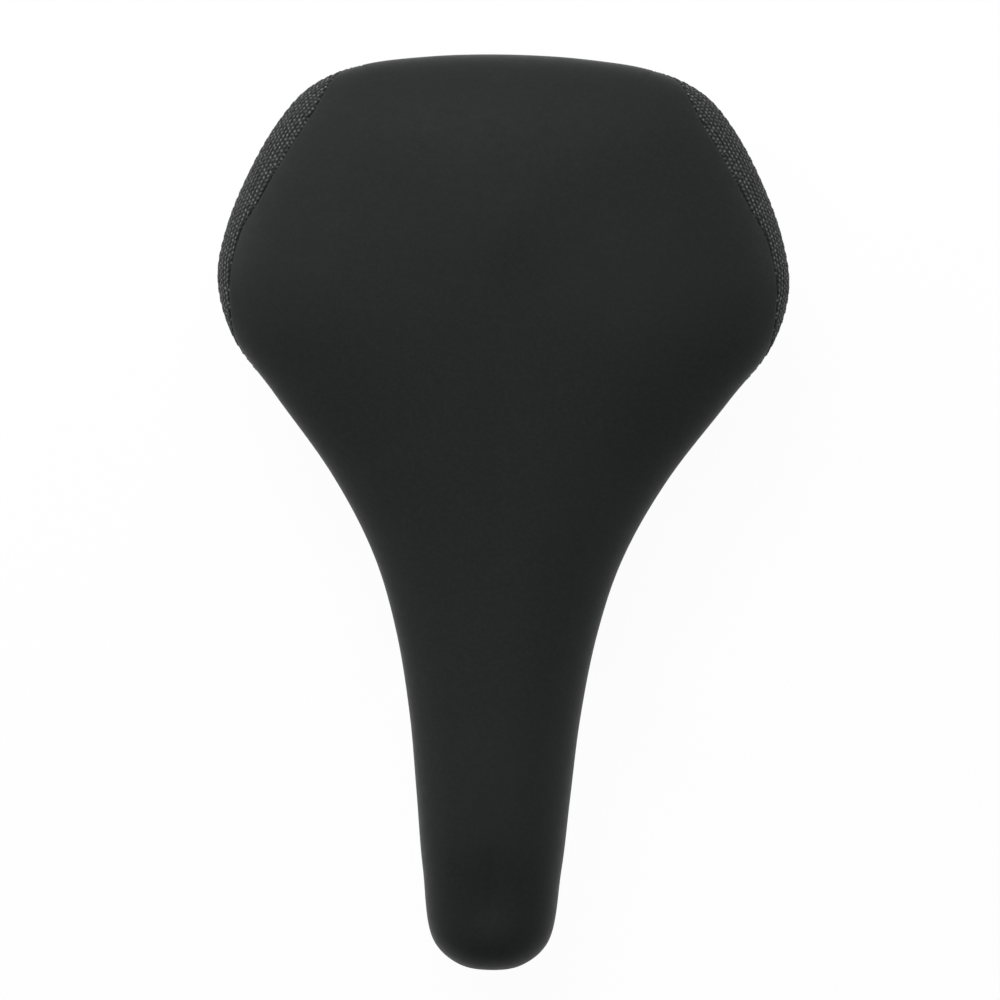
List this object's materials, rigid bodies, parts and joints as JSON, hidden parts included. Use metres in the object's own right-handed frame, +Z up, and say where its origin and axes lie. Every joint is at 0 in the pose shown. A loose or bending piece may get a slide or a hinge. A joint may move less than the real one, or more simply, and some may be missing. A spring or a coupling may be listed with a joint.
{
  "type": "bicycle saddle",
  "caption": "Padded bicycle saddle with a sewn cover, textured side panels, a moulded base shell and a bent wire rail.",
  "frame": {"origin": "under the middle of the saddle's plan, on the plane that the undersides of the rails lie in", "axes": "+Z up, -Y towards the nose, +Y towards the tail, +X to the rider's left"},
  "size_m": [0.168, 0.27, 0.082],
  "materials": {
    "smooth_cover": "matte",
    "textured_panel": "matte",
    "foam": "matte",
    "shell": "satin",
    "rail_steel": "satin",
    "clamp_steel": "satin",
    "screw_steel": "satin",
    "staple_steel": "satin",
    "bush_rubber": "matte"
  },
  "bodies": {
    "root": {"cover_top": "smooth_cover", "side_panel_left": "textured_panel", "side_panel_right": "textured_panel", "foam_pad": "foam", "base_shell": "shell", "rail_wire": "rail_steel", "nose_plate": "clamp_steel", "tail_bush_left": "bush_rubber", "tail_bush_right": "bush_rubber", "tail_cap_left": "clamp_steel", "tail_cap_right": "clamp_steel", "nose_screw": "screw_steel", "tail_screw_left_inner": "screw_steel", "tail_screw_left_outer": "screw_steel", "tail_screw_right_inner": "screw_steel", "tail_screw_right_outer": "screw_steel", "staple_01": "staple_steel", "staple_02": "staple_steel", "staple_03": "staple_steel", "staple_04": "staple_steel", "staple_05": "staple_steel", "staple_06": "staple_steel", "staple_07": "staple_steel", "staple_08": "staple_steel", "staple_09": "staple_steel", "staple_10": "staple_steel", "staple_11": "staple_steel", "staple_12": "staple_steel", "staple_13": "staple_steel", "staple_14": "staple_steel", "staple_15": "staple_steel", "staple_16": "staple_steel", "staple_17": "staple_steel", "staple_18": "staple_steel", "staple_19": "staple_steel", "staple_20": "staple_steel", "staple_21": "staple_steel", "staple_22": "staple_steel"}
  },
  "joints": []
}
